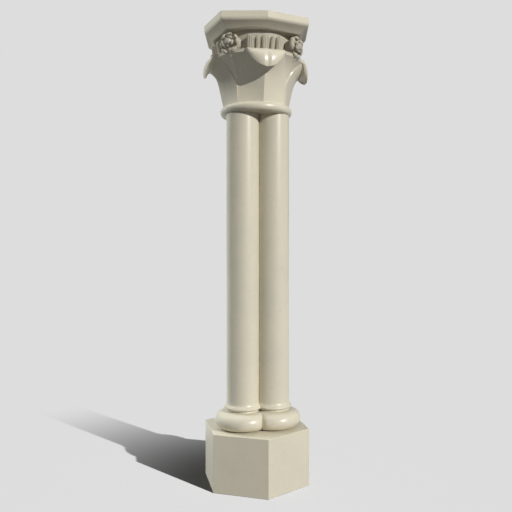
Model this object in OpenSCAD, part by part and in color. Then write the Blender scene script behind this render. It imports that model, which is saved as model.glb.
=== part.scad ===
// Clustered stone column: hexagonal plinth, triple torus base, trefoil shaft,
// leaf capital with a tongue frieze and corner rosettes, eight-sided abacus.
// Millimetres, +Z up, origin at the centre of the underside. One leaf, one
// plinth corner and one shaft crease face -Y.

/* [Plinth] */
// Distance from the axis to each of the six corners
plinth_r = 298; // [250:1:360]
// Height of the plinth block
plinth_h = 303; // [150:1:500]

/* [Shaft] */
// Radius of each of the three joined shafts
shaft_r = 88; // [70:1:105]
// How far neighbouring shafts run into each other
shaft_lap = 10; // [6:1:30]
// Length of the shaft stone
shaft_h = 1537; // [700:1:2600]

/* [Base] */
// How far the torus of a lobe stands out from its shaft
torus_proud = 63; // [40:1:75]
// Height of the torus
torus_h = 93; // [60:1:130]
// Radius of the torus's underside, along the bed
torus_under_r = 62; // [40:1:70]
// Height of the hollow between the torus and the ring
gap_h = 13; // [2:1:20]
// How far the ring at the foot of a shaft stands out from it
ring_proud = 13; // [6:1:25]
// Height of the ring
ring_h = 16; // [6:1:25]
// Height over which the ring runs back to the shaft
flare_h = 20; // [12:1:60]

/* [Capital] */
// Height of the round necking ring
neck_h = 49; // [30:1:70]
// How far the necking ring stands out past the three shafts
neck_proud = 11; // [5:1:30]
// Height of the bell, from the necking ring to the crest of the leaves
bell_h = 250; // [200:1:340]
// How far the rolled leaf lips stand out from the bell at their root
lip_proud = 40; // [25:1:55]
// How far the lip tips hang below the crest of the leaves
lip_drop = 99; // [60:1:120]
// Height of the frieze of tongues, up to the abacus
frieze_h = 104; // [70:1:150]
// Radius of the drum behind the frieze
frieze_r = 210; // [200:1:225]
// Tongues on each of the four sides
tongues = 5; // [1:2:7]
// Half the width of each corner rosette
rosette_w = 70; // [40:1:80]
// Half the height of each corner rosette
rosette_h = 60; // [40:1:61]

/* [Abacus] */
// Distance from the axis to the four corners over the leaves
abacus_side_r = 285; // [275:1:340]
// Distance from the axis to the four corners over the rosettes
abacus_corner_r = 328; // [318:1:380]
// Height of the upright face
fascia_h = 28; // [15:1:80]
// Height of the rounded and splayed moulding under it
moulding_h = 50; // [30:1:90]
// Radius of the rounding between the face and the splay
moulding_r = 22; // [5:1:30]

/* [Hidden] */
stone = "#d8d3bd";
$fn = 96;

// Splay under the abacus: its slope from upright, where it is steepest and at
// its foot
splay_turn = 56;
splay_foot_turn = 45;

// Bed heights of the stones
base_z = plinth_h;
shaft_z = base_z + torus_h + gap_h + ring_h + flare_h;
neck_z = shaft_z + shaft_h;
bell_z = neck_z + neck_h;
crest_z = bell_z + bell_h;
abacus_z = crest_z + frieze_h;

// Three shafts round the axis, the reach of the cluster, and the core that
// fills the middle of the trefoil
shafts = 3;
shaft_turn = 360 / shafts;
shaft_offset = (2 * shaft_r - shaft_lap) / (2 * sin(shaft_turn / 2));
cluster_r = shaft_offset + shaft_r;
core_r = shaft_offset / 2;
neck_r = cluster_r + neck_proud;

// Plan of the leaves: four of them, each reaching to the diagonals below
leaves = 4;
leaf_turn = 360 / leaves;
leaf_half = leaf_turn / 2 - 0.3;
lip_half = leaf_turn / 4;

// Bell, as the radius of its foot and how the leaf faces lean and flare
foot_r = neck_r - 13;
foot_sink = neck_h / 4;
rib_lean = 41;
rib_flare = 28;
flare_power = 8;
edge_foot_r = foot_r + 2;
edge_lean = 8;
edge_flare = 64;
edge_power = 4;
// Share of the height at which neighbouring leaves part, and how fast
part_at = 0.35;
part_power = 1.2;
// How deep the bell lies behind the leaf edges
leaf_thick = 9;

// Lip: depth of the hollow under it and its shrinking towards the edges
hollow_r = 28;
hollow_edge_r = 5;
lip_bend = 2.2;
roll_start = -30;
roll_h = lip_drop / (1 - sin(roll_start));
edge_roll = 16;
edge_roll_h = 14;
edge_rise = 3;

// Steps of the carved surface
leaf_steps = 6;
gap_steps = 2;
face_steps = 9;
hollow_steps = 3;
roll_steps = 7;

// Tongues of the frieze: wide and narrow ones by turns
tongue_pitch = 40;
tongue_wide = 24;
tongue_slim = 15;
// Size of a tongue's foot against its head, its reach at both, how deep its
// back lies behind its front, and its gaps to the leaf crests and to the abacus
tongue_foot = 0.6;
tongue_foot_reach = 232;
tongue_reach = 248;
tongue_depth = 24;
tongue_foot_gap = 8;
tongue_top_gap = 23;

// Rosette: curled petals round a boss, over a hanging bud
petals = 7;
petal_r = 22;
rosette_r_out = 248;
rosette_drop = 62;
bud_r = 16;
bud_drop = 56;
bud_in = 34;
// How far the back of a rosette runs into the drum
rosette_root = 20;

function mix(a, b, k) = a + (b - a) * k;
function clamp(x) = min(1, max(0, x));
function arc(c, rx, rz, from, to, n) =
    [for (i = [0:n]) let (a = mix(from, to, i / n)) c + [rx * cos(a), rz * sin(a)]];

function turned(p, a) = [p[0] * cos(a) - p[1] * sin(a), p[0] * sin(a) + p[1] * cos(a), p[2]];

// Closed skin over columns that stand round the axis, each from the bottom up
module skin(columns) {
    n = len(columns);
    rows = len(columns[0]);
    points = concat([for (c = columns) for (p = c) p],
                    [[0, 0, columns[0][0][2]], [0, 0, columns[0][rows - 1][2]]]);
    sides = [for (i = [0 : n - 1]) for (j = [0 : rows - 2])
        let (a = i * rows + j, b = ((i + 1) % n) * rows + j)
        for (f = [[a, a + 1, b + 1], [a, b + 1, b]]) f];
    caps = [for (i = [0 : n - 1])
        let (a = i * rows, b = ((i + 1) % n) * rows)
        for (f = [[n * rows, a, b], [n * rows + 1, b + rows - 1, a + rows - 1]]) f];
    polyhedron(points, concat(sides, caps));
}

// Outline of one lobe of the base, upwards: radius from its shaft's axis, height
function lobe_outline() = let (
    torus_r = torus_h / 2,
    torus_reach = shaft_r + torus_proud,
    ring_z = torus_h + gap_h,
    top_z = ring_z + ring_h + flare_h
) concat(
    arc([torus_reach - torus_under_r, torus_r], torus_under_r, torus_r, -90, 0, 5),
    arc([torus_reach - torus_r, torus_r], torus_r, torus_r, 15, 90, 5),
    [[shaft_r + ring_proud / 3, torus_h]],
    arc([shaft_r + ring_proud - ring_h / 2, ring_z + ring_h / 2], ring_h / 2, ring_h / 2, -90, 60, 4),
    arc([shaft_r + ring_proud, top_z], ring_proud, flare_h, 250, 180, 4)
);

// Angle, about a shaft's own axis, at which a circle of radius r meets the crease
function crease_angle(r) = shaft_turn / 2 + asin(shaft_offset * sin(shaft_turn / 2) / r);

module plinth() {
    color(stone) rotate([0, 0, 30]) cylinder(r = plinth_r, h = plinth_h, $fn = 6);
}

// Column of the base round one shaft, where f runs from -1 to 1 between creases
function lobe_column(f) = [
    for (p = lobe_outline()) let (a = f * crease_angle(p[0]))
        [shaft_offset + p[0] * cos(a), p[0] * sin(a), p[1]]
];

module base() {
    steps = 14;
    columns = [for (k = [0 : shafts - 1]) for (i = [0 : steps - 1])
        [for (p = lobe_column(2 * i / steps - 1)) turned(p, k * shaft_turn + 90)]];
    color(stone) translate([0, 0, base_z]) skin(columns);
}

module shaft() {
    color(stone) translate([0, 0, shaft_z]) linear_extrude(shaft_h) {
        for (k = [0 : shafts - 1])
            rotate(k * shaft_turn + 90) translate([shaft_offset, 0]) circle(shaft_r);
        circle(core_r);
    }
}

// Point of a leaf, where u runs from 0 on the midrib to 1 on the edge:
// [reach along the leaf's own axis, distance to the side, height]
function face_point(s, u) = let (
    k = pow(u, lip_bend),
    top = mix(crest_z - lip_drop + hollow_r + edge_rise, crest_z - edge_roll_h, k),
    edge_r = edge_foot_r + edge_lean * s + edge_flare * pow(s, edge_power),
    edge_turn = mix(leaf_half, lip_half, pow(clamp((s - part_at) / (1 - part_at)), part_power)),
    rib = foot_r + rib_lean * s + rib_flare * pow(s, flare_power)
) [mix(rib, edge_r * cos(edge_turn), u), u * edge_r * sin(edge_turn), mix(bell_z, top, s)];

function hollow_point(s, u) = let (
    root = face_point(1, u),
    r = mix(hollow_r, hollow_edge_r, pow(u, lip_bend)),
    a = mix(90, 0, s)
) root + [r * cos(a), 0, r * (sin(a) - 1)];

function roll_point(s, u) = let (
    root = face_point(1, u),
    k = pow(u, lip_bend),
    a = mix(roll_start, 90, s),
    h = mix(roll_h, edge_roll_h, k)
) [root[0] + mix(lip_proud, edge_roll, k) * cos(a), root[1],
   mix(crest_z, crest_z + edge_rise, k) - h * (1 - sin(a))];

// Every column of the carved surface has the same rows: foot, leaf, frieze
carved_rows = face_steps + hollow_steps + roll_steps + 2;

// Column of a leaf, where u runs from -1 to 1 across it
function leaf_column(u) = let (w = abs(u), side = sign(u)) [
    for (p = concat(
        [for (i = [0 : face_steps]) face_point(i / face_steps, w)],
        [for (i = [1 : hollow_steps]) hollow_point(i / hollow_steps, w)],
        [for (i = [0 : roll_steps]) roll_point(i / roll_steps, w)]
    )) [p[0], side * p[1], p[2]]
];

// Column of the bell behind a leaf and the next, where v runs from 0 to 1
function gap_column(v) = [
    for (i = [0 : carved_rows - 1]) let (
        s = min(1, i / face_steps),
        p = face_point(s, 1),
        r = norm([p[0], p[1]]) - leaf_thick * clamp((s - part_at) * 4),
        edge = atan2(p[1], p[0]),
        a = mix(edge, leaf_turn - edge, v),
        rise = max(0, i - face_steps) / (carved_rows - 1 - face_steps)
    ) [r * cos(a), r * sin(a), mix(p[2], crest_z + edge_rise, rise)]
];

// Column with its lowest run carried on down into the necking ring, and with
// the frieze drum above it
function whole_column(c) = let (
    head = c[len(c) - 1],
    a = atan2(head[1], head[0])
) concat(
    [c[0] + (c[0] - c[1]) * foot_sink / (c[1][2] - c[0][2])],
    [for (i = [1 : len(c) - 1]) c[i]],
    [for (z = [crest_z + 3 * edge_rise, abacus_z]) [frieze_r * cos(a), frieze_r * sin(a), z]]
);

// Bell, leaves and frieze drum
module bell() {
    quarter = concat(
        [for (i = [-leaf_steps : leaf_steps]) whole_column(leaf_column(i / leaf_steps))],
        [for (i = [1 : gap_steps]) whole_column(gap_column((i - 0.5) / gap_steps))]
    );
    skin([for (k = [0 : leaves - 1]) for (c = quarter) [for (p = c) turned(p, k * leaf_turn)]]);
}

module necking_ring() {
    half = neck_h / 2;
    rotate_extrude($fn = 40)
        polygon(concat([[0, neck_z]], arc([neck_r - half, neck_z + half], half, half, -90, 90, 5),
                       [[0, neck_z + neck_h]]));
}

// Upright tongue: a rounded bar that leans out, and whose back runs into the drum
module tongue(r) {
    foot_r = r * tongue_foot;
    hull() for (back = [0, 1]) translate([-back * tongue_depth, 0, 0]) {
        translate([tongue_reach - r, 0, abacus_z - tongue_top_gap - r]) sphere(r = r, $fn = 8);
        translate([tongue_foot_reach - foot_r, 0, crest_z + tongue_foot_gap]) sphere(r = foot_r, $fn = 6);
    }
}

module rosette() {
    ring = [rosette_w - petal_r, rosette_h - petal_r];
    translate([rosette_r_out, 0, abacus_z - rosette_drop]) {
        sphere(r = petal_r, $fn = 8);
        rotate([0, -90, 0]) scale([ring[1] / ring[0], 1, 1])
            cylinder(r = ring[0], h = rosette_r_out - frieze_r + rosette_root, $fn = 8);
        for (i = [0 : petals - 1]) let (a = i * 360 / petals)
            translate([0, ring[0] * sin(a), ring[1] * cos(a)]) sphere(r = petal_r, $fn = 8);
        hull() {
            translate([0, 0, -ring[1]]) sphere(r = bud_r, $fn = 8);
            translate([-bud_in, 0, -ring[1] - bud_drop]) sphere(r = bud_r / 2, $fn = 6);
        }
    }
}

module capital() {
    color(stone) union() {
        necking_ring();
        rotate([0, 0, -90]) bell();
        for (side = [0 : leaves - 1]) rotate([0, 0, side * leaf_turn - 90]) {
            for (i = [0 : tongues - 1]) let (step = i - (tongues - 1) / 2)
                rotate([0, 0, asin(step * tongue_pitch / frieze_r)])
                    tongue(step % 2 == 0 ? tongue_wide : tongue_slim);
            rotate([0, 0, leaf_turn / 2]) rosette();
        }
    }
}

// Corners of the abacus plan: sides and corners by turns
function abacus_plan(share) = [
    for (i = [0 : 2 * leaves - 1]) let (
        r = share * (i % 2 == 0 ? abacus_side_r : abacus_corner_r),
        a = i * leaf_turn / 2
    ) [r * cos(a), r * sin(a)]
];

// Moulding under the upright face, as [how far in, how far down] from the face's
// lower edge: a rounding, then a slightly hollow splay
function moulding_outline(steps) = let (
    round_h = moulding_r * sin(splay_turn),
    round_in = moulding_r * (1 - cos(splay_turn)),
    hollow = (moulding_h - round_h) / (sin(splay_turn) - sin(splay_foot_turn))
) concat(
    [for (i = [0 : steps]) let (a = splay_turn * i / steps)
        [moulding_r * (1 - cos(a)), moulding_r * sin(a)]],
    [for (i = [1 : steps]) let (a = mix(splay_turn, splay_foot_turn, i / steps))
        [round_in + hollow * (cos(a) - cos(splay_turn)),
         round_h + hollow * (sin(splay_turn) - sin(a))]]
);

module moulding() {
    corners = 2 * leaves;
    side_turn = atan2(abacus_side_r - abacus_corner_r * cos(leaf_turn / 2),
                      abacus_corner_r * sin(leaf_turn / 2));
    side_reach = abacus_side_r * cos(side_turn);
    levels = [for (q = moulding_outline(4)) [for (p = abacus_plan(1 - q[0] / side_reach))
        [p[0], p[1], abacus_z + moulding_h - q[1]]]];
    last = len(levels) - 1;
    points = [for (level = levels) for (p = level) p];
    sides = [for (j = [0 : last - 1]) for (i = [0 : corners - 1])
        let (a = j * corners + i, b = j * corners + (i + 1) % corners)
        [a, b, b + corners, a + corners]];
    polyhedron(points, concat(sides,
        [[for (i = [corners - 1 : -1 : 0]) i]],
        [[for (i = [0 : corners - 1]) last * corners + i]]));
}

module abacus() {
    color(stone) union() {
        moulding();
        translate([0, 0, abacus_z + moulding_h]) linear_extrude(fascia_h) polygon(abacus_plan(1));
    }
}

plinth();
base();
shaft();
capital();
abacus();
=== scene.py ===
"""Clustered stone column: plinth, triple base, trefoil shaft, leaf capital and abacus."""

import math

import bmesh
import bpy
import numpy as np
from mathutils import Matrix, Vector


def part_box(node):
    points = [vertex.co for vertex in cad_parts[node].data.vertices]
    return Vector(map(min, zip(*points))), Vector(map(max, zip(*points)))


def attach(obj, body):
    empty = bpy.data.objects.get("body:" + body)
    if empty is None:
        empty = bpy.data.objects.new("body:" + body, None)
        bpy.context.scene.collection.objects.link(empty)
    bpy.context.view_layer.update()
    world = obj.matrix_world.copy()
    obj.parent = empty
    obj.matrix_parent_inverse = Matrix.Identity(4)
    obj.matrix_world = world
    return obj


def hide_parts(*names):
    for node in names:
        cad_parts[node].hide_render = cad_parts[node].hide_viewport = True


bl_info = {
    "name": "Clustered Stone Column",
    "version": (1, 0, 0),
    "blender": (4, 5, 0),
    "location": "View3D > Sidebar > Column",
    "description": "Builds the stones of a clustered column round its frame, with its stage",
    "category": "Object",
}

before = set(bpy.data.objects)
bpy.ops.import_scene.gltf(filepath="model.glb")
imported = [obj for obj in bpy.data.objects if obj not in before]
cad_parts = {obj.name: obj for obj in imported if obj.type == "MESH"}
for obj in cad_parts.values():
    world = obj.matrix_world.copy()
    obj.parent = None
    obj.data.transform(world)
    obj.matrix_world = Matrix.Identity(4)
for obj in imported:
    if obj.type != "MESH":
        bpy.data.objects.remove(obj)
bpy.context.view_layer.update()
MM = 0.001


def reach(node):
    """Half the larger side of a CAD node's plan."""
    low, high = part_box(node)
    return max(high[0] - low[0], high[1] - low[1]) / 2


def bed(node):
    """Height of the face that a CAD node rests on."""
    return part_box(node)[0][2]


def top(node):
    """Height of a CAD node's upper face."""
    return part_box(node)[1][2]


# ---------------------------------------------------------------- settings


def length(name, description, default, low, high):
    """Length setting, whose default and limits are given in millimetres."""
    return bpy.props.FloatProperty(name=name, description=description, default=default * MM,
                                   min=low * MM, max=high * MM, unit="LENGTH")


class ColumnSizes(bpy.types.PropertyGroup):
    """Sizes that the frame doesn't give."""

    shaft_r: length("Shaft radius", "Radius of each joined shaft", 88, 50, 200)
    shaft_lap: length("Shaft lap", "How far neighbouring shafts run into each other", 10, 4, 30)
    torus_proud: length("Torus projection", "How far the torus of a lobe stands out from its shaft",
        63, 30, 80)
    torus_h: length("Torus height", "Height of the torus", 93, 50, 130)
    torus_under_r: length("Torus underside", "Radius of the torus's underside, along the bed",
        62, 40, 70)
    gap_h: length("Gap height", "Hollow between the torus and the ring above it", 13, 2, 20)
    ring_proud: length("Ring projection", "How far the ring at the foot of a shaft stands out",
        13, 6, 25)
    ring_h: length("Ring height", "Height of the ring at the foot of a shaft", 16, 6, 25)
    flare_h: length("Flare height", "Height over which the ring runs back to the shaft", 20, 12, 60)
    neck_h: length("Necking height", "Height of the round necking ring", 49, 30, 70)
    neck_proud: length("Necking projection", "How far the necking ring stands out past the shafts",
        11, 5, 30)
    frieze_h: length("Frieze height", "Height from the leaf crests to the abacus", 104, 70, 150)
    frieze_r: length("Frieze drum", "Radius of the drum behind the frieze", 210, 200, 225)
    fascia_h: length("Fascia height", "Height of the abacus's upright face", 28, 15, 80)
    moulding_r: length("Moulding rounding", "Radius of the rounding under the abacus's upright face",
        22, 5, 30)
    abacus_corner_r: length("Abacus corner reach", "Distance from the axis to the corners over the rosettes",
        328, 300, 400)
    arris: length("Arris", "Width of the rubbed-down edge on a stone's corners", 3, 0.5, 8)


class LeafShape(bpy.types.PropertyGroup):
    """Sizes of the four leaves of the capital."""

    lip_proud: length("Lip projection", "How far the rolled lips stand out from the root of the roll",
        40, 20, 60)
    lip_drop: length("Lip drop", "How far the lip tips hang below the leaf crests", 99, 50, 130)
    rib_lean: length("Lean", "How far the midrib leans out from the bell's foot to the lip", 41, 10, 70)
    rib_flare: length("Flare", "How far the midrib flares out under the lip", 28, 10, 50)
    hollow_r: length("Hollow", "Radius of the hollow under the lip", 28, 10, 40)
    thick: length("Leaf thickness", "How far a leaf's edge stands out from the bell behind it",
        6, 4, 25)
    vein: length("Vein", "Half the depth of the groove down the middle of each lip", 3, 0, 5)


class CarvingShape(bpy.types.PropertyGroup):
    """Sizes and numbers of the tongues and of the rosettes' petals."""

    tongues: bpy.props.IntProperty(
        name="Tongues", description="Tongues on each side of the frieze", default=5, min=1, max=9)
    tongue_pitch: length("Tongue pitch", "Distance between neighbouring tongues", 40, 20, 60)
    tongue_w: length("Tongue width", "Width of a wide tongue at its head", 49, 10, 60)
    tongue_slim: bpy.props.FloatProperty(
        name="Slim share", description="Width of the slim tongues as a share of the wide ones",
        default=0.62, min=0.2, max=1, subtype="FACTOR")
    tongue_reach: length("Tongue reach", "From the column's axis to the front of a tongue's foot",
        232, 220, 240)
    tongue_depth: length("Tongue depth", "How deep a wide tongue is from front to back", 34, 10, 50)
    tongue_reeds: bpy.props.IntProperty(
        name="Reeds", description="Fine reeds round a tongue", default=18, min=0, max=40)
    petals: bpy.props.IntProperty(
        name="Petals", description="Curled petals round a rosette", default=7, min=3, max=12)
    heart_petals: bpy.props.IntProperty(
        name="Heart petals", description="Smaller petals round the heart of a rosette",
        default=5, min=0, max=9)
    petal_h: length("Petal height", "Height of a curled petal of the outer round", 37, 20, 60)
    rosette_w: length("Rosette half width", "From the rosette's middle to its sides", 68, 30, 80)
    rosette_h: length("Rosette half height", "From the rosette's middle to its top", 59, 30, 61)
    rosette_reach: length("Rosette reach", "From the column's axis to the rosettes' middle plane",
        250, 230, 270)
    rosette_drop: length("Rosette drop", "From the abacus down to the rosettes' middle", 62, 40, 90)
    wildness: bpy.props.FloatProperty(
        name="Wildness", description="How unlike each other the petals are", default=0.22, min=0, max=1,
        subtype="FACTOR")


class StoneLook(bpy.types.PropertyGroup):
    """Colours and polish of the stone."""

    body: bpy.props.FloatVectorProperty(
        name="Stone", description="Main colour of the cream stone",
        default=(0.720, 0.668, 0.530), size=3, min=0, max=1, subtype="COLOR")
    cloud: bpy.props.FloatVectorProperty(
        name="Cloud", description="Greyer colour of the faint clouds in the stone",
        default=(0.655, 0.622, 0.500), size=3, min=0, max=1, subtype="COLOR")
    fleck: bpy.props.FloatVectorProperty(
        name="Fleck", description="Colour of the fine darker flecks",
        default=(0.560, 0.505, 0.380), size=3, min=0, max=1, subtype="COLOR")
    # Painted shade: this colour and its share darken the carving between the leaf crests and the abacus,
    # standing in for the shade under the abacus.
    painted_shade: bpy.props.FloatVectorProperty(
        name="Painted shade", description="Colour of the shade-painted carving under the abacus",
        default=(0.400, 0.368, 0.290), size=3, min=0, max=1, subtype="COLOR")
    painted_shade_share: bpy.props.FloatProperty(
        name="Painted shade share", description="How far the carving under the abacus has darkened",
        default=0.75, min=0, max=1, subtype="FACTOR")
    polish: bpy.props.FloatProperty(
        name="Roughness", description="Roughness of the rubbed and waxed surface",
        default=0.29, min=0.05, max=1, subtype="FACTOR")
    # Roughness over the same band that has the painted shade, and over the abacus.
    dullness: bpy.props.FloatProperty(
        name="Dullness", description="How much rougher the shade-painted carving and the abacus are",
        default=0.32, min=0, max=0.6, subtype="FACTOR")


class StageLook(bpy.types.PropertyGroup):
    """Backdrop colour and camera."""

    backdrop: bpy.props.FloatVectorProperty(
        name="Backdrop", description="Pale grey that the camera sees round the column",
        default=(0.723, 0.723, 0.723), size=3, min=0, max=1, subtype="COLOR")
    turn: bpy.props.FloatProperty(
        name="Camera turn", description="How far round to the left of the front the camera stands",
        default=math.radians(12.4), subtype="ANGLE")
    distance: bpy.props.FloatProperty(
        name="Camera distance", description="From the column's axis to the camera",
        default=3.39, min=1, max=20, unit="LENGTH")
    eye: bpy.props.FloatProperty(
        name="Camera height", description="Height of the level camera above the floor",
        default=1.2246, min=0.1, max=5, unit="LENGTH")
    angle: bpy.props.FloatProperty(
        name="Field of view", description="Angle of view of the square frame",
        default=math.radians(45), subtype="ANGLE")


GROUPS = {
    "column_sizes": ColumnSizes,
    "column_leaf": LeafShape,
    "column_carving": CarvingShape,
    "column_stone": StoneLook,
    "column_stage": StageLook,
}

# ---------------------------------------------------------------- meshes


def mix(a, b, k):
    """Value a share k of the way from a to b."""
    return a + (b - a) * k


def ellipse(centre, radius_x, radius_z, start, stop, steps):
    """Points [radius, height] along an ellipse, angles in degrees."""
    angles = np.radians(np.linspace(start, stop, steps + 1))
    return np.stack([centre[0] + radius_x * np.cos(angles),
                     centre[1] + radius_z * np.sin(angles)], axis=1)


def turned(points, angle):
    """Points turned about the column's axis by an angle in radians."""
    c, s = math.cos(angle), math.sin(angle)
    turn = np.array([[c, s, 0], [-s, c, 0], [0, 0, 1]])
    return np.asarray(points) @ turn


def skin(name, columns):
    """Closed mesh over columns of points that stand round the axis."""
    columns = np.asarray(columns)
    count, rows, _ = columns.shape
    here = np.arange(count)[:, None] * rows + np.arange(rows - 1)[None, :]
    there = (np.arange(count)[:, None] + 1) % count * rows + np.arange(rows - 1)[None, :]
    quads = np.stack([here, there, there + 1, here + 1], axis=-1).reshape(-1, 4).tolist()
    foot = [i * rows for i in reversed(range(count))]
    head = [i * rows + rows - 1 for i in range(count)]
    mesh = bpy.data.meshes.new(name)
    mesh.from_pydata(columns.reshape(-1, 3).tolist(), [], quads + [foot, head])
    return outward(mesh)


def outward(mesh):
    """Points the faces of a closed mesh outwards."""
    work = bmesh.new()
    work.from_mesh(mesh)
    bmesh.ops.recalc_face_normals(work, faces=work.faces)
    work.to_mesh(mesh)
    work.free()
    return mesh


def finish_mesh(mesh, smooth_angle=30):
    """Merges doubles, points the faces outwards and shades them smooth between sharp edges."""
    work = bmesh.new()
    work.from_mesh(mesh)
    bmesh.ops.remove_doubles(work, verts=work.verts, dist=0.01 * MM)
    bmesh.ops.dissolve_degenerate(work, dist=0.01 * MM, edges=work.edges)
    bmesh.ops.recalc_face_normals(work, faces=work.faces)
    work.to_mesh(mesh)
    work.free()
    for face in mesh.polygons:
        face.use_smooth = True
    mesh.set_sharp_from_angle(angle=math.radians(smooth_angle))
    mesh.update()
    return mesh


def rub_arrises(mesh, width, steepest=40):
    """Rounds every edge sharper than an angle in degrees."""
    work = bmesh.new()
    work.from_mesh(mesh)
    sharp = [e for e in work.edges
             if len(e.link_faces) == 2 and e.calc_face_angle() > math.radians(steepest)]
    bmesh.ops.bevel(work, geom=sharp, offset=width, segments=3, profile=0.5, affect="EDGES")
    work.to_mesh(mesh)
    work.free()


def add_piece(name, mesh, node, material):
    """Object for a stone, which stands for its CAD node."""
    piece = bpy.data.objects.new(name, mesh)
    bpy.context.scene.collection.objects.link(piece)
    flat = piece.modifiers.new("flat_faces", "WEIGHTED_NORMAL")
    flat.keep_sharp = True
    mesh.materials.clear()
    mesh.materials.append(material)
    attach(piece, "root")
    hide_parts(node)
    return piece

# ---------------------------------------------------------------- plinth, base, shaft

SHAFTS = 3
THIRD = 2 * math.pi / SHAFTS
CHASE_FROM = 0.91  # share of a lobe's turn past which its crease is chased back
CHASE_DEPTH = 0.09
COVE_DEPTH = 1.6  # of the cove under the ring, as a share of its half height
RING_STOP = 62  # degrees at which the ring ends, and at which its flare starts
FLARE_START = 252
SHAFT_STEPS = 56
BASE_STEPS = 84


def shaft_offset(sizes):
    """Distance from the column's axis to the axis of each shaft."""
    return (2 * sizes.shaft_r - sizes.shaft_lap) / (2 * math.sin(THIRD / 2))


def lobed_columns(outline, offset, steps, chase=0.0):
    """Columns of an outline carried round the three shafts, from crease to crease.

    The creases are chased back by a share of their reach, over the last part of each lobe's turn."""
    radius, height = outline[:, 0], outline[:, 1]
    crease = THIRD / 2 + np.arcsin(offset * math.sin(THIRD / 2) / radius)
    columns = []
    for lobe in range(SHAFTS):
        for step in range(steps):
            share = 2 * step / steps - 1
            angle = share * crease
            inward = 1 - chase * max(0.0, (abs(share) - CHASE_FROM) / (1 - CHASE_FROM)) ** 2
            points = np.stack([inward * (offset + radius * np.cos(angle)),
                               inward * radius * np.sin(angle), height], axis=1)
            columns.append(turned(points, lobe * THIRD + math.pi / 2))
    return columns


def base_outline(sizes):
    """Outline of one lobe, upwards: radius from its shaft's axis, and height."""
    foot = bed("base")
    half = sizes.torus_h / 2
    under = sizes.torus_under_r
    torus_reach = sizes.shaft_r + sizes.torus_proud
    ring_c = sizes.shaft_r + sizes.ring_proud
    ring_z = foot + sizes.torus_h + sizes.gap_h
    head = top("base")
    bead = sizes.ring_h / 2
    cove = sizes.gap_h / 2
    return np.concatenate([
        ellipse((torus_reach - under, foot + half), under, half, -90, 0, 14),
        ellipse((torus_reach - half, foot + half), half, half, 6, 90, 14),
        ellipse((sizes.shaft_r + cove, ring_z - cove), COVE_DEPTH * cove, cove, 270, 90, 8),
        ellipse((ring_c - bead, ring_z + bead), bead, bead, -90, RING_STOP, 8),
        ellipse((ring_c, head), sizes.ring_proud, sizes.flare_h, FLARE_START, 180, 10),
    ])


def plinth_mesh():
    """Hexagonal block with one corner to the front."""
    low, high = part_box("plinth")
    corner = high[1]
    mesh = bpy.data.meshes.new("plinth")
    work = bmesh.new()
    rings = []
    for height in (low[2], high[2]):
        rings.append([work.verts.new((corner * math.sin(i * math.pi / 3),
                                      corner * math.cos(i * math.pi / 3), height)) for i in range(6)])
    work.faces.new(rings[0])
    work.faces.new(rings[1][::-1])
    for i in range(6):
        j = (i + 1) % 6
        work.faces.new((rings[0][i], rings[0][j], rings[1][j], rings[1][i]))
    bmesh.ops.recalc_face_normals(work, faces=work.faces)
    work.to_mesh(mesh)
    work.free()
    return mesh


# ---------------------------------------------------------------- nodes


class Value:
    """Socket of a node, on which Python's operators build Math nodes."""

    def __init__(self, nodes, socket):
        self.nodes = nodes
        self.socket = socket

    def maths(self, operation, first, second=None):
        """Math node over one or two values."""
        return self.nodes.add("ShaderNodeMath", {"operation": operation},
                              {0: first} if second is None else {0: first, 1: second})

    def __add__(self, other):
        return self.maths("ADD", self, other)

    def __radd__(self, other):
        return self.maths("ADD", other, self)

    def __sub__(self, other):
        return self.maths("SUBTRACT", self, other)

    def __rsub__(self, other):
        return self.maths("SUBTRACT", other, self)

    def __mul__(self, other):
        return self.maths("MULTIPLY", self, other)

    def __rmul__(self, other):
        return self.maths("MULTIPLY", other, self)

    def __truediv__(self, other):
        return self.maths("DIVIDE", self, other)

    def __mod__(self, other):
        return self.maths("MODULO", self, other)

    def floor(self):
        """Whole part."""
        return self.maths("FLOOR", self)

    def sin(self):
        """Sine of an angle."""
        return self.maths("SINE", self)

    def cos(self):
        """Cosine of an angle."""
        return self.maths("COSINE", self)


class Nodes:
    """Adds nodes to a tree, with their settings first and then their sockets."""

    def __init__(self, tree):
        self.tree = tree

    def add(self, kind, settings=None, sockets=None, out=0):
        """New node of a kind; returns one of its outputs as a Value."""
        node = self.tree.nodes.new(kind)
        for name, setting in (settings or {}).items():
            setattr(node, name, setting)
        for name, given in (sockets or {}).items():
            self.put(node.inputs[name], given)
        return Value(self, node.outputs[out])

    def put(self, socket, given):
        """Links a Value, or several Values, to a socket, or sets the socket to a constant."""
        if isinstance(given, list):
            for value in given:
                self.put(socket, value)
        elif isinstance(given, Value):
            self.tree.links.new(given.socket, socket)
        else:
            socket.default_value = given

    def vector(self, x, y, z):
        """Vector of three values."""
        return self.add("ShaderNodeCombineXYZ", None, {0: x, 1: y, 2: z})


# ---------------------------------------------------------------- capital

LEAVES = 4
QUARTER = 2 * math.pi / LEAVES
FOOT_INSET = 13 * MM  # from the necking's face in to the leaves' feet
PART_AT = 0.35  # share of a leaf's height above which it parts from its neighbours
PARTING = 4  # how fast its edge then rises from the bell
PART_POWER = 1.2
LIP_BEND = 2.2
FLARE_POWER = 8
EDGE_PROUD = 2 * MM
EDGE_LEAN = 8 * MM
EDGE_FLARE = 64 * MM
EDGE_POWER = 4
EDGE_ROLL = 16 * MM
EDGE_ROLL_H = 14 * MM
EDGE_RISE = 3 * MM
EDGE_HOLLOW = 5 * MM
VEIN_SWELL_AT = 0.46
VEIN_WIDTH = 0.12
ROLL_START = -30
SEAM = math.radians(0.3)
CROWDING = 0.9  # power that spaces the columns across a leaf
RING_STEPS = 144


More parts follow.
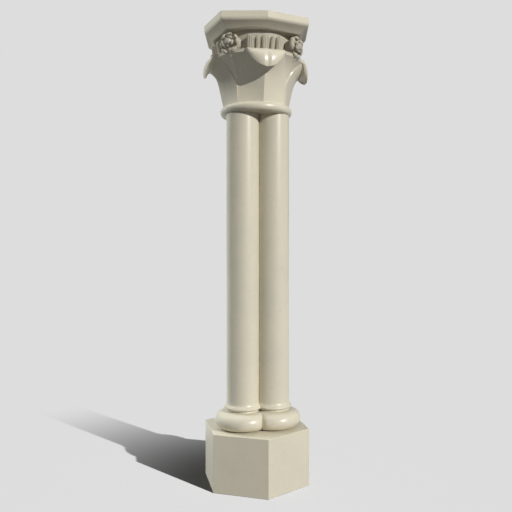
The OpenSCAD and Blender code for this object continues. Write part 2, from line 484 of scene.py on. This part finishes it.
class Bell:
    """Surface of the bell and its four leaves, worked out from the sizes."""

    def __init__(self, sizes, leaf):
        self.leaf = leaf
        self.neck_r = shaft_offset(sizes) + sizes.shaft_r + sizes.neck_proud
        self.foot = bed("capital") + sizes.neck_h
        self.head = top("capital")
        self.crest = self.head - sizes.frieze_h
        self.foot_r = self.neck_r - FOOT_INSET
        self.roll_h = leaf.lip_drop / (1 - math.sin(math.radians(ROLL_START)))

    def face(self, s, u):
        """Leaf face, s from 0 at the foot to 1 at the root of the lip, u from 0 on the midrib to 1."""
        k = u ** LIP_BEND
        head = mix(self.crest - self.leaf.lip_drop + self.leaf.hollow_r + EDGE_RISE,
                   self.crest - EDGE_ROLL_H, k)
        edge_r = self.foot_r + EDGE_PROUD + EDGE_LEAN * s + EDGE_FLARE * s ** EDGE_POWER
        parted = np.clip((s - PART_AT) / (1 - PART_AT), 0, 1) ** PART_POWER
        edge_turn = mix(QUARTER / 2 - SEAM, QUARTER / 4, parted)
        rib = self.foot_r + self.leaf.rib_lean * s + self.leaf.rib_flare * s ** FLARE_POWER
        return np.stack([mix(rib, edge_r * np.cos(edge_turn), u), u * edge_r * np.sin(edge_turn),
                         mix(self.foot, head, s)], axis=-1)

    def hollow(self, s, u):
        """Hollow under the lip, s from 0 at its root to 1 inside the tip."""
        root = self.face(1.0, u)
        r = mix(self.leaf.hollow_r, EDGE_HOLLOW, u ** LIP_BEND)
        a = np.radians(90 * (1 - s))
        return root + np.stack([r * np.cos(a), np.zeros_like(a), r * (np.sin(a) - 1)], axis=-1)

    def roll(self, s, u):
        """Outside of the lip, s from 0 at its tip to 1 at its crest."""
        root = self.face(1.0, u)
        k = u ** LIP_BEND
        a = np.radians(mix(ROLL_START, 90, s))
        swell = (math.exp(-((u - VEIN_SWELL_AT) / VEIN_SWELL_AT) ** 2)
                 - 2 * math.exp(-(u / VEIN_WIDTH) ** 2))
        out = mix(self.leaf.lip_proud, EDGE_ROLL, k) + self.leaf.vein * swell
        h = mix(self.roll_h, EDGE_ROLL_H, k)
        z = mix(self.crest, self.crest + EDGE_RISE, k) - h * (1 - np.sin(a))
        return np.stack([root[0] + out * np.cos(a), np.full_like(a, root[1]), z], axis=-1)

    def leaf_column(self, u, face_steps, hollow_steps, roll_steps):
        """Column of a leaf from its foot to its crest, u from -1 to 1 across it."""
        side = abs(u)
        points = np.concatenate([
            self.face(np.linspace(0, 1, face_steps + 1), side),
            self.hollow(np.linspace(0, 1, hollow_steps + 1)[1:], side),
            self.roll(np.linspace(0, 1, roll_steps + 1), side),
        ])
        points[:, 1] *= math.copysign(1, u) if u else 0
        return points

    def gap_column(self, v, face_steps, rows):
        """Column of the bell behind two leaves' edges, v from 0 to 1 across the gap."""
        step = np.arange(rows)
        s = np.minimum(1, step / face_steps)
        edge = self.face(s, 1.0)
        deep = self.leaf.thick * np.clip((s - PART_AT) * PARTING, 0, 1)
        r = np.hypot(edge[:, 0], edge[:, 1]) - deep
        turn = np.arctan2(edge[:, 1], edge[:, 0])
        a = mix(turn, QUARTER - turn, v)
        rise = np.maximum(0, step - face_steps) / (rows - 1 - face_steps)
        z = mix(edge[:, 2], self.crest + EDGE_RISE, rise)
        return np.stack([r * np.cos(a), r * np.sin(a), z], axis=1)


def bell_mesh(sizes, leaf):
    """Bell, leaves and the drum behind the frieze as one closed skin."""
    bell = Bell(sizes, leaf)
    face_steps, hollow_steps, roll_steps, leaf_steps, gap_steps = 44, 10, 30, 26, 8
    rows = face_steps + hollow_steps + roll_steps + 2
    across = np.linspace(-1, 1, 2 * leaf_steps + 1)
    across = np.sign(across) * np.abs(across) ** CROWDING
    quarter = [bell.leaf_column(float(u), face_steps, hollow_steps, roll_steps) for u in across]
    quarter += [bell.gap_column((i + 0.5) / gap_steps, face_steps, rows) for i in range(gap_steps)]
    columns = []
    for leaf_number in range(LEAVES):
        for points in quarter:
            angle = math.atan2(points[-1, 1], points[-1, 0])
            below = points[0] - np.array([0, 0, sizes.neck_h / 4])
            drum = [[sizes.frieze_r * math.cos(angle), sizes.frieze_r * math.sin(angle), z]
                    for z in (bell.crest + 3 * EDGE_RISE, bell.head)]
            column = np.concatenate([[below], points, drum])
            columns.append(turned(column, leaf_number * QUARTER - math.pi / 2))
    return skin("bell", columns)


def ring_mesh(sizes):
    """Round necking ring with its flat underside."""
    foot = bed("capital")
    half = sizes.neck_h / 2
    outer = shaft_offset(sizes) + sizes.shaft_r + sizes.neck_proud
    outline = ellipse((outer - half, foot + half), half, half, -90, 90, 20)
    columns = []
    for i in range(RING_STEPS):
        a = 2 * math.pi * i / RING_STEPS
        columns.append(np.stack([outline[:, 0] * math.cos(a), outline[:, 0] * math.sin(a),
                                 outline[:, 1]], axis=1))
    return skin("necking", columns)


# ---------------------------------------------------------------- carving

REED_DEPTH = 0.13
TONGUE_GAP = 23 * MM  # from a tongue's head to the abacus
TONGUE_LEAN = math.radians(9)
TONGUE_BOW = 0.10  # how far a tongue curves ahead, as a share of its half width
TONGUE_FOOT = 0.78  # width of a tongue's foot as a share of its head's
TONGUE_SINK = 0.42  # how far its middle lies behind its front, as a share of its depth
TONGUE_SQUARENESS = 0.75
SLIM_SHALLOWER = 0.25
SLIM_SHORTER = 0.06
PETAL_TURN = 235  # degrees that a petal curls over
PETAL_CUP = 0.28
PETAL_REEL = 1.9  # length of a petal, as a share of its height
BOSS_SHARE = 0.26
BACKING_SHARE = 0.68
BACKING_THICK = 44 * MM
BACKING_BEHIND = 18 * MM
TAIL_LENGTH = 52 * MM
TAIL_WIDTH = 0.26
STALK_FOOT = 3.0  # half widths of the stalk in millimetres
STALK_HEAD = 8.0


def swept(name, path, half_width, half_thick, cup=0.0, reeds=0, sides=20, squareness=1.0):
    """Closed form swept along a path [x, z] in the plane Y = 0; its front faces +X where it rises.

    The cup is how far its edges lie ahead of its middle, reeds run along it, and a squareness
    under 1 fills out its corners."""
    path = np.asarray(path)
    along = np.gradient(path, axis=0)
    along /= np.linalg.norm(along, axis=1, keepdims=True)
    front = np.stack([along[:, 1], -along[:, 0]], axis=1)
    a = 2 * np.pi * np.arange(sides) / sides
    ripple = 1 - REED_DEPTH * (0.5 + 0.5 * np.cos(reeds * a)) * (reeds > 0)
    width = half_width[:, None] * np.sign(np.cos(a)) * np.abs(np.cos(a)) ** squareness * ripple
    ahead = half_thick[:, None] * np.sin(a) * ripple + cup * half_width[:, None] * np.cos(a) ** 2
    points = np.stack([path[:, None, 0] + front[:, None, 0] * ahead, width,
                       path[:, None, 1] + front[:, None, 1] * ahead], axis=-1)
    rows, count, _ = points.shape
    here = np.arange(rows - 1)[:, None] * count + np.arange(count)[None, :]
    there = np.arange(rows - 1)[:, None] * count + (np.arange(count)[None, :] + 1) % count
    quads = np.stack([here, there, there + count, here + count], axis=-1).reshape(-1, 4).tolist()
    ends = [list(range(count))[::-1], [(rows - 1) * count + i for i in range(count)]]
    mesh = bpy.data.meshes.new(name)
    mesh.from_pydata(points.reshape(-1, 3).tolist(), [], quads + ends)
    return outward(mesh)


def tongue_mesh(shape, height):
    """Upright reeded tongue with a domed head that leans out, its foot at the origin."""
    v = np.linspace(0, 1, 22)
    half = shape.tongue_w / 2
    dome = half * 1.1 / height
    head = np.sqrt(np.clip(1 - (np.clip(v - 1 + dome, 0, None) / dome) ** 2, 0.015, 1))
    width = mix(TONGUE_FOOT, 1, v ** 0.8) * half * head
    thick = mix(0.85, 1, v) * shape.tongue_depth / 2 * np.sqrt(head)
    path = np.stack([TONGUE_BOW * half * v ** 2, v * height], axis=1)
    return swept("tongue", path, width, thick, reeds=shape.tongue_reeds, sides=56,
                 squareness=TONGUE_SQUARENESS)


def petal_mesh(height):
    """Cupped petal that rises from the origin and curls over to its front."""
    v = np.linspace(0, 1, 26)
    heading = np.radians(90 - PETAL_TURN * np.clip((v - 0.30) / 0.70, 0, 1) ** 1.1)
    step = height / (len(v) - 1) * PETAL_REEL * mix(1, 0.55, v)
    path = np.stack([np.cumsum(step * np.cos(heading)), np.cumsum(step * np.sin(heading))], axis=1)
    width = height * (0.20 + 0.40 * np.sin(np.pi * np.clip(v * 0.95, 0, 1)) ** 0.8)
    thick = height * mix(0.22, 0.12, v) * np.sqrt(np.clip(1 - v ** 8, 0.03, 1))
    return swept("petal", path, width, thick, PETAL_CUP)


def backing_mesh(shape, height):
    """Thick oval plate behind a rosette's petals, in the column's own place."""
    mesh = bpy.data.meshes.new("backing")
    work = bmesh.new()
    bmesh.ops.create_cone(work, cap_ends=True, segments=40, radius1=1, radius2=0.85, depth=1)
    size = Matrix.Diagonal((BACKING_SHARE * shape.rosette_h, BACKING_SHARE * shape.rosette_w,
                            BACKING_THICK, 1))
    place = Matrix.Translation((shape.rosette_reach - BACKING_BEHIND, 0, height))
    work.transform(place @ Matrix.Rotation(math.pi / 2, 4, "Y") @ size)
    work.to_mesh(mesh)
    work.free()
    return outward(mesh)


def boss_mesh(radius):
    """Round boss in the heart of a rosette."""
    mesh = bpy.data.meshes.new("boss")
    work = bmesh.new()
    bmesh.ops.create_uvsphere(work, u_segments=24, v_segments=14, radius=radius)
    work.to_mesh(mesh)
    work.free()
    return mesh


def tail_mesh(reach_out, height, drop):
    """Pointed leaf that hangs from a rosette against the bell, in the column's own place."""
    v = np.linspace(0, 1, 20)
    path = np.stack([reach_out + drop * (0.10 * np.sin(np.pi * v) - 0.5 * v ** 1.6),
                     height - v * drop], axis=1)
    width = drop * TAIL_WIDTH * np.sqrt(np.clip(1 - v ** 1.6, 0.004, 1)) * mix(0.8, 1, np.sin(np.pi * v))
    return swept("tail", path[::-1], width[::-1], 0.62 * width[::-1], reeds=7, sides=28)


def stalk_mesh(bell, height):
    """Slender stalk up the bell between two leaves, in the column's own place."""
    points = bell.gap_column(0.5, 40, 60)
    points = points[points[:, 2] < height]
    k = np.linspace(0, 1, len(points))
    width = mix(STALK_FOOT, STALK_HEAD, k ** 0.7) * MM
    path = np.stack([np.hypot(points[:, 0], points[:, 1]), points[:, 2]], axis=1)
    return swept("stalk", path, width, 0.35 * width, sides=16)


def group_inputs(tree, sockets):
    """Named inputs of a Geometry Nodes tree, and its geometry output."""
    tree.interface.new_socket("Geometry", in_out="INPUT", socket_type="NodeSocketGeometry")
    for name, kind in sockets.items():
        tree.interface.new_socket(name, in_out="INPUT", socket_type="NodeSocket" + kind)
    tree.interface.new_socket("Geometry", in_out="OUTPUT", socket_type="NodeSocketGeometry")


def scatter(nodes, thing, count, place, turn, size):
    """Instances of a thing, whose places, turns and sizes come from their index."""
    points = nodes.add("GeometryNodePoints", None, {"Count": count, "Position": place})
    turn = nodes.add("FunctionNodeEulerToRotation", None, {"Euler": turn})
    return nodes.add("GeometryNodeInstanceOnPoints", None,
                     {"Points": points, "Instance": thing, "Rotation": turn, "Scale": size})


def varied(nodes, wild, seed):
    """Random value round 1 that differs by as much as the wildness."""
    value = nodes.add("FunctionNodeRandomValue", None, {2: -1.0, 3: 1.0, "Seed": seed}, out=1)
    return value * wild + 1.0


CARVING_INPUTS = {
    "Tongues": "Int", "Tongue pitch": "Float", "Frieze radius": "Float", "Frieze foot": "Float",
    "Lean": "Float", "Slim share": "Float", "Petals": "Int", "Heart petals": "Int",
    "Half width": "Float", "Half height": "Float", "Rosette reach": "Float", "Rosette height": "Float",
    "Wildness": "Float", "Stone": "Material",
}


def carving_tree(parts):
    """Tree that rings the capital with tongues and rosettes and joins all into one solid."""
    tree = bpy.data.node_groups.new("capital_carving", "GeometryNodeTree")
    group_inputs(tree, CARVING_INPUTS)
    nodes = Nodes(tree)
    given = tree.nodes.new("NodeGroupInput")
    start = {socket.name: Value(nodes, socket) for socket in given.outputs if socket.name}
    part = {name: nodes.add("GeometryNodeObjectInfo", {"transform_space": "ORIGINAL"}, {"Object": thing},
                            "Geometry") for name, thing in parts.items()}
    index = nodes.add("GeometryNodeInputIndex")

    number = start["Tongues"]
    step = index % number - (number - 1.0) * 0.5
    angle = step * start["Tongue pitch"] + (index / number).floor() * QUARTER
    place = nodes.vector(angle.cos() * start["Frieze radius"], angle.sin() * start["Frieze radius"],
                         start["Frieze foot"])
    slim = step.maths("ABSOLUTE", step) % 2.0
    girth = 1.0 - slim * (1.0 - start["Slim share"])
    depth = 1.0 - slim * SLIM_SHALLOWER
    joined = [start["Geometry"], part["necking"],
              scatter(nodes, part["tongue"], number * LEAVES, place,
                      nodes.vector(0.0, start["Lean"], angle),
                      nodes.vector(depth, girth, 1.0 - slim * SLIM_SHORTER))]

    def rosette_round(thing, number, ring, ahead, size, seed, first=0.0):
        """Round of one part in all four rosettes."""
        corner = (index / number).floor() * QUARTER + QUARTER / 2
        turn = (index % number * 2.0 * math.pi / number + first
                + (varied(nodes, start["Wildness"], seed) - 1.0))
        side = turn.sin() * start["Half width"] * ring
        out = start["Rosette reach"] + ahead
        place = nodes.vector(corner.cos() * out - corner.sin() * side,
                             corner.sin() * out + corner.cos() * side,
                             start["Rosette height"] + turn.cos() * start["Half height"] * ring)
        swell = varied(nodes, start["Wildness"], seed + 1) * size
        joined.append(scatter(nodes, thing, number * LEAVES, place,
                              nodes.vector(0.0 - turn, 0.0, corner), nodes.vector(swell, swell, swell)))

    rosette_round(part["petal"], start["Petals"], ring=0.34, ahead=-6 * MM, size=1.0, seed=3)
    rosette_round(part["petal"], start["Heart petals"], ring=0.10, ahead=10 * MM, size=0.70, seed=8,
                  first=0.5)
    single = nodes.add("FunctionNodeInputInt", {"integer": 1})
    rosette_round(part["boss"], single, ring=0.0, ahead=12 * MM, size=1.0, seed=12)
    corner = nodes.vector(0.0, 0.0, index * QUARTER + QUARTER / 2)
    for name in ("backing", "tail", "stalk"):
        joined.append(scatter(nodes, part[name], LEAVES, (0, 0, 0), corner, (1, 1, 1)))

    solid = nodes.add("GeometryNodeMeshBoolean", {"operation": "UNION", "solver": "MANIFOLD"},
                      {"Mesh 2": joined})
    solid = nodes.add("GeometryNodeRealizeInstances", None, {0: solid})
    solid = nodes.add("GeometryNodeSetMaterial", None, {"Geometry": solid, "Material": start["Stone"]})
    nodes.put(tree.nodes.new("NodeGroupOutput").inputs[0], solid)
    return tree


# ---------------------------------------------------------------- abacus

SPLAY_TURN = 56  # degrees that the rounding turns before the splay
SPLAY_FOOT_TURN = 45
ABACUS_ARRIS = 2 * MM


def moulding_outline(height, radius, steps):
    """Points [how far in, how far down] from the foot of the abacus's upright face."""
    steep, foot = math.radians(SPLAY_TURN), math.radians(SPLAY_FOOT_TURN)
    a = np.linspace(0, steep, steps + 1)
    rounding = np.stack([radius * (1 - np.cos(a)), radius * np.sin(a)], axis=1)
    hollow = (height - radius * math.sin(steep)) / (math.sin(steep) - math.sin(foot))
    a = np.linspace(steep, foot, steps + 1)[1:]
    splay = rounding[-1] + hollow * np.stack([np.cos(a) - math.cos(steep),
                                              math.sin(steep) - np.sin(a)], axis=1)
    return np.concatenate([rounding, splay])


def abacus_mesh(sizes):
    """Eight-sided slab: upright face over a rounded and splayed moulding, with a flat top."""
    side_r = reach("abacus")
    eighth = QUARTER / 2
    side_turn = math.atan2(side_r - sizes.abacus_corner_r * math.cos(eighth),
                           sizes.abacus_corner_r * math.sin(eighth))
    side_reach = side_r * math.cos(side_turn)
    foot, head = bed("abacus"), top("abacus")
    shoulder = head - sizes.fascia_h
    outline = moulding_outline(shoulder - foot, sizes.moulding_r, 10)
    levels = [(1 - run_in / side_reach, shoulder - down) for run_in, down in outline[::-1]]
    levels.append((1, head))
    columns = []
    for i in range(8):
        a = i * eighth
        r = side_r if i % 2 == 0 else sizes.abacus_corner_r
        columns.append([[share * r * math.cos(a), share * r * math.sin(a), z] for share, z in levels])
    return skin("abacus", columns)


# ---------------------------------------------------------------- stone


def rgba(colour):
    """Colour with full alpha."""
    return (colour[0], colour[1], colour[2], 1.0)


def stone_material(look, carved_from, carved_to):
    """Smooth cream stone with clouds and flecks, darker between two heights as painted shade, and duller
    above.
    """
    material = bpy.data.materials.new("cream_stone")
    material.use_nodes = True
    nodes = Nodes(material.node_tree)
    shader = material.node_tree.nodes["Principled BSDF"]
    place = nodes.add("ShaderNodeTexCoord", None, None, "Object")
    clouds = nodes.add("ShaderNodeTexNoise", None,
                       {"Vector": place, "Scale": 5.0, "Detail": 5.0, "Roughness": 0.55})
    grain = nodes.add("ShaderNodeTexNoise", None,
                      {"Vector": place, "Scale": 260.0, "Detail": 3.0, "Roughness": 0.6})
    flecks = nodes.add("ShaderNodeTexNoise", None,
                       {"Vector": place, "Scale": 95.0, "Detail": 2.0, "Roughness": 0.5})
    cloud_mask = nodes.add("ShaderNodeMapRange", None,
                           {"Value": clouds, "From Min": 0.42, "From Max": 0.68})
    fleck_mask = nodes.add("ShaderNodeMapRange", None,
                           {"Value": flecks, "From Min": 0.58, "From Max": 0.74, "To Max": 0.30})
    tone = nodes.add("ShaderNodeMix", {"data_type": "RGBA"},
                     {"Factor": cloud_mask * 0.7, 6: rgba(look.body), 7: rgba(look.cloud)}, out=2)
    tone = nodes.add("ShaderNodeMix", {"data_type": "RGBA"},
                     {"Factor": fleck_mask, 6: tone, 7: rgba(look.fleck)}, out=2)
    height = nodes.add("ShaderNodeSeparateXYZ", None, {0: place}, 2) + (clouds - 0.5) * 0.03
    above = nodes.add("ShaderNodeMapRange", None, {"Value": height, "From Min": carved_from - 20 * MM,
                                                   "From Max": carved_from + 4 * MM})
    below = nodes.add("ShaderNodeMapRange", None, {"Value": height, "From Min": carved_to + 2 * MM,
                                                   "From Max": carved_to + 6 * MM,
                                                   "To Min": 1.0, "To Max": 0.0})
    # Painted shade: the carving between the leaf crests and the abacus is mixed towards a darker colour,
    # standing in for the shade under the abacus.
    tone = nodes.add("ShaderNodeMix", {"data_type": "RGBA"},
                     {"Factor": above * below * look.painted_shade_share, 6: tone, 7: rgba(look.painted_shade)}, out=2)
    shade = nodes.add("ShaderNodeMapRange", None,
                      {"Value": grain, "From Min": 0.3, "From Max": 0.7, "To Min": 0.955, "To Max": 1.03})
    tone = nodes.add("ShaderNodeVectorMath", {"operation": "SCALE"}, {0: tone, "Scale": shade})
    nodes.put(shader.inputs["Base Color"], tone)
    nodes.put(shader.inputs["Roughness"],
              look.polish + above * look.dullness + cloud_mask * 0.06 + (grain - 0.5) * 0.12)
    height = grain * 0.35 + flecks * 0.65
    bump = nodes.add("ShaderNodeBump", None, {"Strength": 0.12, "Distance": 0.4 * MM, "Height": height})
    nodes.put(shader.inputs["Normal"], bump)
    shader.inputs["IOR"].default_value = 1.5
    return material


def stone():
    """The one stone material, made when it is first needed."""
    made = bpy.data.materials.get("cream_stone")
    scene = bpy.context.scene
    crest = top("capital") - scene.column_sizes.frieze_h
    return made or stone_material(scene.column_stone, crest, top("capital"))


# ---------------------------------------------------------------- operators


class COLUMN_OT_plinth(bpy.types.Operator):
    """Hexagonal plinth block with rubbed arrises"""

    bl_idname = "column.plinth"
    bl_label = "Plinth"

    def execute(self, context):
        mesh = plinth_mesh()
        rub_arrises(mesh, context.scene.column_sizes.arris)
        add_piece("plinth_block", finish_mesh(mesh), "plinth", stone())
        return {"FINISHED"}


class COLUMN_OT_base(bpy.types.Operator):
    """Triple torus base with the rings and flares at the foot of the shafts"""

    bl_idname = "column.base"
    bl_label = "Base"

    def execute(self, context):
        sizes = context.scene.column_sizes
        outline = base_outline(sizes)
        past_ring = ((outline[:, 0] - sizes.shaft_r - sizes.ring_proud)
                     / (sizes.torus_proud - sizes.ring_proud))
        chase = CHASE_DEPTH * np.clip(past_ring, 0, 1)
        columns = lobed_columns(outline, shaft_offset(sizes), BASE_STEPS, chase)
        add_piece("torus_base", finish_mesh(skin("torus_base", columns)), "base", stone())
        return {"FINISHED"}


class COLUMN_OT_shaft(bpy.types.Operator):
    """Smooth shaft of three joined rounds"""

    bl_idname = "column.shaft"
    bl_label = "Shaft"

    def execute(self, context):
        sizes = context.scene.column_sizes
        heights = np.linspace(bed("shaft"), top("shaft"), 25)
        outline = np.stack([np.full_like(heights, sizes.shaft_r), heights], axis=1)
        columns = lobed_columns(outline, shaft_offset(sizes), SHAFT_STEPS)
        add_piece("trefoil_shaft", finish_mesh(skin("trefoil_shaft", columns)), "shaft", stone())
        return {"FINISHED"}


class COLUMN_OT_capital(bpy.types.Operator):
    """Capital: necking ring, bell with four leaves, frieze of tongues and corner rosettes"""

    bl_idname = "column.capital"
    bl_label = "Capital"

    def execute(self, context):
        scene = context.scene
        sizes, shape = scene.column_sizes, scene.column_carving
        bell = Bell(sizes, scene.column_leaf)
        rosette_z = bell.head - shape.rosette_drop
        tongue_foot = bell.crest + 2 * MM
        meshes = {
            "necking": ring_mesh(sizes),
            "tongue": tongue_mesh(shape, bell.head - TONGUE_GAP - tongue_foot),
            "petal": petal_mesh(shape.petal_h),
            "boss": boss_mesh(BOSS_SHARE * shape.rosette_w),
            "backing": backing_mesh(shape, rosette_z),
            "tail": tail_mesh(shape.rosette_reach, rosette_z - 0.5 * shape.rosette_h, TAIL_LENGTH),
            "stalk": stalk_mesh(bell, rosette_z - shape.rosette_h - TAIL_LENGTH / 3),
        }
        parts = {name: bpy.data.objects.new(name, mesh) for name, mesh in meshes.items()}
        capital = bpy.data.objects.new("leaf_capital", bell_mesh(sizes, scene.column_leaf))
        for thing in (capital, *parts.values()):
            scene.collection.objects.link(thing)
        tree = carving_tree(parts)
        carving = capital.modifiers.new("carving", "NODES")
        carving.node_group = tree
        values = {
            "Tongues": shape.tongues, "Tongue pitch": shape.tongue_pitch / shape.tongue_reach,
            "Frieze radius": shape.tongue_reach - TONGUE_SINK * shape.tongue_depth,
            "Frieze foot": tongue_foot, "Lean": TONGUE_LEAN, "Slim share": shape.tongue_slim,
            "Petals": shape.petals, "Heart petals": shape.heart_petals,
            "Half width": shape.rosette_w, "Half height": shape.rosette_h,
            "Rosette reach": shape.rosette_reach, "Rosette height": rosette_z,
            "Wildness": shape.wildness, "Stone": stone(),
        }
        for item in tree.interface.items_tree:
            if item.in_out == "INPUT" and item.name in values:
                carving[item.identifier] = values[item.name]
        carved = capital.evaluated_get(context.evaluated_depsgraph_get())
        solid = bpy.data.meshes.new_from_object(carved)
        for thing in (capital, *parts.values()):
            bpy.data.objects.remove(thing)
        add_piece("leaf_capital", finish_mesh(solid), "capital", stone())
        return {"FINISHED"}


class COLUMN_OT_abacus(bpy.types.Operator):
    """Eight-sided abacus with rubbed arrises"""

    bl_idname = "column.abacus"
    bl_label = "Abacus"

    def execute(self, context):
        sizes = context.scene.column_sizes
        mesh = abacus_mesh(sizes)
        rub_arrises(mesh, ABACUS_ARRIS, 35)
        add_piece("abacus_slab", finish_mesh(mesh, 24), "abacus", stone())
        return {"FINISHED"}


# ---------------------------------------------------------------- stage

AIR = 0.10
MIRROR_AIR = 0.5
FLOOR_HALF = 400.0
FLOOR_KEY = 40
SHADOW_NEAR = 0.1
SHADOW_FAR = 2.3
KEY_TURN = 32.7
KEY_LIFT = 23.4
KEY_SPREAD = 0.9
WHITE = (1, 1, 1)
LAMPS = {  # turn, lift, strength, spread in degrees, colour
    "floor_key": (KEY_TURN, KEY_LIFT, FLOOR_KEY, KEY_SPREAD, WHITE),
    "key": (KEY_TURN, KEY_LIFT, 2.8, KEY_SPREAD, (1.0, 0.995, 0.98)),
    "top_fill": (-32, 80, 0.7, 50, (1.0, 0.99, 0.97)),
    "left_fill": (-127, 28, 3.0, 40, (0.94, 1.0, 1.03)),
    "front_fill": (-14, 8, 0.17, 100, WHITE),
}


def floor_paint(look):
    """Paint that the key lamp lights to the backdrop's colour, and whose shadows fade with distance."""
    material = bpy.data.materials.new("floor_paint")
    material.use_nodes = True
    tree = material.node_tree
    tree.nodes.clear()
    nodes = Nodes(tree)
    key = FLOOR_KEY * math.sin(math.radians(KEY_LIFT)) / math.pi
    paint = [shown / (key + AIR) for shown in look.backdrop]
    lit = nodes.add("ShaderNodeBsdfDiffuse", None, {"Color": rgba(paint)})
    plain = nodes.add("ShaderNodeEmission", None, {"Color": rgba(look.backdrop), "Strength": 1.0})
    place = nodes.add("ShaderNodeTexCoord", None, None, "Object")
    far = nodes.add("ShaderNodeVectorMath", {"operation": "LENGTH"}, {0: place}, out="Value")
    fade = nodes.add("ShaderNodeMapRange", {"interpolation_type": "SMOOTHSTEP"},
                     {"Value": far, "From Min": SHADOW_NEAR, "From Max": SHADOW_FAR})
    shown = nodes.add("ShaderNodeMixShader", None, {0: fade, 1: lit, 2: plain})
    out = tree.nodes.new("ShaderNodeOutputMaterial")
    nodes.put(out.inputs["Surface"], shown)
    return material


def sun(name, turn, lift, strength, spread, colour):
    """Sun lamp that shines from a turn to the right of the front and a lift above the floor."""
    lamp = bpy.data.lights.new(name, "SUN")
    lamp.energy = strength
    lamp.angle = math.radians(spread)
    lamp.color = colour
    thing = bpy.data.objects.new(name, lamp)
    bpy.context.scene.collection.objects.link(thing)
    a = math.radians(turn)
    e = math.radians(lift)
    toward = Vector((math.sin(a) * math.cos(e), -math.cos(a) * math.cos(e), math.sin(e)))
    thing.rotation_euler = toward.to_track_quat("Z", "Y").to_euler()
    return thing


def shine_on(lamp, things):
    """Keeps a lamp's light to some objects."""
    lit = bpy.data.collections.new("lit_by_" + lamp.name)
    for thing in things:
        lit.objects.link(thing)
    lamp.light_linking.receiver_collection = lit


class COLUMN_OT_stage(bpy.types.Operator):
    """Pale floor, lamps and the level camera"""

    bl_idname = "column.stage"
    bl_label = "Stage"

    def execute(self, context):
        scene = context.scene
        look = scene.column_stage
        scene.view_settings.view_transform = "Standard"
        scene.cycles.diffuse_bounces = 3

        mesh = bpy.data.meshes.new("floor")
        corners = ((-1, -1), (1, -1), (1, 1), (-1, 1))
        mesh.from_pydata([(x * FLOOR_HALF, y * FLOOR_HALF, 0) for x, y in corners], [], [(0, 1, 2, 3)])
        floor = bpy.data.objects.new("floor", mesh)
        scene.collection.objects.link(floor)
        floor.visible_diffuse = False
        mesh.materials.append(floor_paint(look))

        world = bpy.data.worlds.new("studio")
        scene.world = world
        world.use_nodes = True
        tree = world.node_tree
        tree.nodes.clear()
        nodes = Nodes(tree)
        ray = tree.nodes.new("ShaderNodeLightPath")
        soft = nodes.add("ShaderNodeBackground", None, {"Color": rgba(WHITE), "Strength": AIR})
        seen = nodes.add("ShaderNodeBackground", None, {"Color": rgba(look.backdrop), "Strength": 1.0})
        mirror = nodes.add("ShaderNodeBackground", None,
                           {"Color": rgba(look.backdrop), "Strength": MIRROR_AIR})
        shown = nodes.add("ShaderNodeMixShader", None,
                          {0: Value(nodes, ray.outputs["Is Glossy Ray"]), 1: soft, 2: mirror})
        shown = nodes.add("ShaderNodeMixShader", None,
                          {0: Value(nodes, ray.outputs["Is Camera Ray"]), 1: shown, 2: seen})
        out = tree.nodes.new("ShaderNodeOutputWorld")
        nodes.put(out.inputs["Surface"], shown)

        lamps = {name: sun(name, *facts) for name, facts in LAMPS.items()}
        column = [thing for thing in scene.objects if thing.type == "MESH" and thing is not floor]
        for name in ("key", "top_fill", "left_fill"):
            shine_on(lamps[name], column)
        shine_on(lamps["floor_key"], [floor])
        shine_on(lamps["front_fill"], [thing for thing in column if thing.name == "leaf_capital"])
        for name in ("left_fill", "front_fill"):
            lamps[name].visible_glossy = False

        lens = bpy.data.cameras.new("camera")
        lens.sensor_width = 36
        lens.lens = lens.sensor_width / 2 / math.tan(look.angle / 2)
        camera = bpy.data.objects.new("camera", lens)
        camera.location = (-look.distance * math.sin(look.turn),
                           -look.distance * math.cos(look.turn), look.eye)
        camera.rotation_euler = (math.pi / 2, 0, -look.turn)
        scene.collection.objects.link(camera)
        scene.camera = camera
        return {"FINISHED"}


class COLUMN_PT_panel(bpy.types.Panel):
    """Panel that lists the column's stones, sizes and colours"""

    bl_label = "Clustered Column"
    bl_idname = "COLUMN_PT_panel"
    bl_space_type = "VIEW_3D"
    bl_region_type = "UI"
    bl_category = "Column"

    def draw(self, context):
        for operator in STEPS:
            self.layout.operator(operator.bl_idname)
        for group in GROUPS:
            settings = getattr(context.scene, group)
            box = self.layout.box()
            for name in type(settings).bl_rna.properties.keys():
                if name not in ("rna_type", "name"):
                    box.prop(settings, name)


STEPS = (COLUMN_OT_plinth, COLUMN_OT_base, COLUMN_OT_shaft, COLUMN_OT_capital, COLUMN_OT_abacus,
         COLUMN_OT_stage)
CLASSES = (*GROUPS.values(), *STEPS, COLUMN_PT_panel)


def register():
    """Registers the classes and hangs the settings on the scene."""
    for item in CLASSES:
        bpy.utils.register_class(item)
    for name, group in GROUPS.items():
        setattr(bpy.types.Scene, name, bpy.props.PointerProperty(type=group))


def unregister():
    """Takes the settings and classes away again."""
    for name in GROUPS:
        delattr(bpy.types.Scene, name)
    for item in reversed(CLASSES):
        bpy.utils.unregister_class(item)


def main():
    """Builds every stone and the stage."""
    register()
    bpy.ops.column.plinth()
    bpy.ops.column.base()
    bpy.ops.column.shaft()
    bpy.ops.column.capital()
    bpy.ops.column.abacus()
    bpy.ops.column.stage()


if __name__ == "__main__":
    main()
